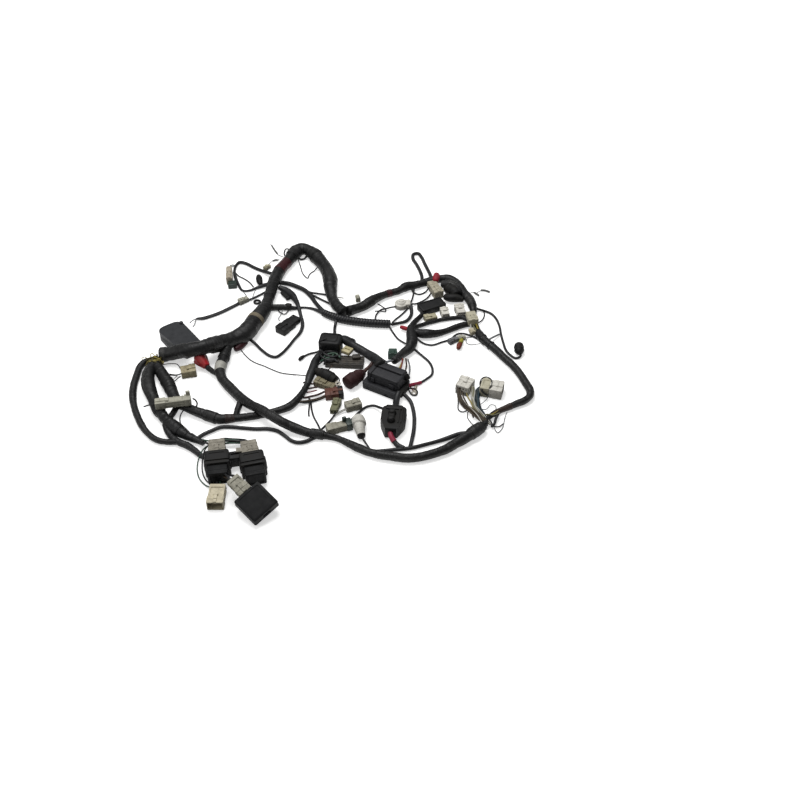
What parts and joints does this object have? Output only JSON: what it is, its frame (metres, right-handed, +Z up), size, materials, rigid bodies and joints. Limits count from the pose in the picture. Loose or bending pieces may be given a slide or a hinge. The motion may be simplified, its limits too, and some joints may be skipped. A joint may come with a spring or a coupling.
{
  "type": "wiring harness",
  "caption": "Motorcycle wiring harness laid flat: taped bundles in wide loops with relays, fuse box, igniter box, starter relay and moulded connectors",
  "frame": {"origin": "on the ground plane under the middle of the loom's bounding box, as it lies flat", "axes": "+Z up; +Y points away from the viewer of the picture, to the rear loop; +X to the right of the picture; -Z is the side that it lies on"},
  "size_m": [0.6112, 0.6507, 0.039],
  "materials": {
    "vinyl_tape": "black vinyl harness tape, semi-gloss, dusty",
    "sleeving": "black and dark grey PVC sleeving, dusty",
    "convoluted_tube": "black corrugated conduit",
    "black_nylon": "black moulded nylon, dusty",
    "grey_nylon": "grey moulded nylon",
    "natural_nylon": "natural moulded nylon, off-white",
    "aged_nylon": "natural moulded nylon, yellowed and dusty",
    "brown_nylon": "brown moulded nylon",
    "olive_nylon": "olive moulded nylon with its dark leads",
    "green_nylon": "dark green moulded nylon",
    "black_rubber": "black moulded rubber, matt",
    "red_rubber": "dark red-brown rubber boot, matt",
    "bare_plastic": "dark grey moulded plastic, dusty"
  },
  "bodies": {
    "root": {"igniter_box": "bare_plastic", "fuse_box_base": "bare_plastic", "fuse_box_lid": "bare_plastic", "central_block": "black_nylon", "carrier_plate": "black_nylon", "relay_1": "black_rubber", "relay_1_plug": "natural_nylon", "relay_2": "black_rubber", "relay_2_plug": "natural_nylon", "square_relay": "black_nylon", "square_relay_plug": "grey_nylon", "starter_relay": "black_rubber", "grey_inline_connector": "grey_nylon", "long_inline_connector": "aged_nylon", "green_connector": "green_nylon", "brown_connector": "brown_nylon", "pale_connector": "natural_nylon", "right_ivory_connector": "aged_nylon", "upper_white_connector": "natural_nylon", "middle_white_connector": "natural_nylon", "front_white_connector": "natural_nylon", "lower_ivory_connector": "natural_nylon", "beige_connector": "aged_nylon", "white_connector_left": "natural_nylon", "white_connector_right": "natural_nylon", "left_outer_connector": "aged_nylon", "flat_module": "black_nylon", "mated_connectors": "black_nylon", "round_cap_connector": "natural_nylon", "rubber_boot": "red_rubber", "black_plug": "black_rubber", "bulb_holder": "natural_nylon", "cylindrical_plug": "black_rubber", "end_plug": "black_nylon", "rear_trunk": "vinyl_tape", "front_trunk": "vinyl_tape", "right_trunk": "vinyl_tape", "lower_trunk": "vinyl_tape", "middle_bundle": "vinyl_tape", "inner_left_bundle": "vinyl_tape", "outer_left_lead": "vinyl_tape", "junction_branches": "vinyl_tape", "block_sleeve": "sleeving", "block_to_fuse_bundle": "sleeving", "corrugated_conduit": "convoluted_tube", "parallel_lead": "sleeving", "side_lead": "sleeving", "front_link_lead": "sleeving", "loop_lead": "sleeving", "upper_lead": "sleeving", "horizontal_lead": "sleeving", "ring_lead": "sleeving", "long_left_lead": "sleeving", "hairpin_lead": "sleeving", "far_right_lead": "sleeving", "battery_lead": "sleeving", "conduit_lead": "sleeving", "starter_relay_lead": "sleeving", "white_connector_leads": "sleeving", "olive_connector": "olive_nylon"}
  },
  "joints": []
}
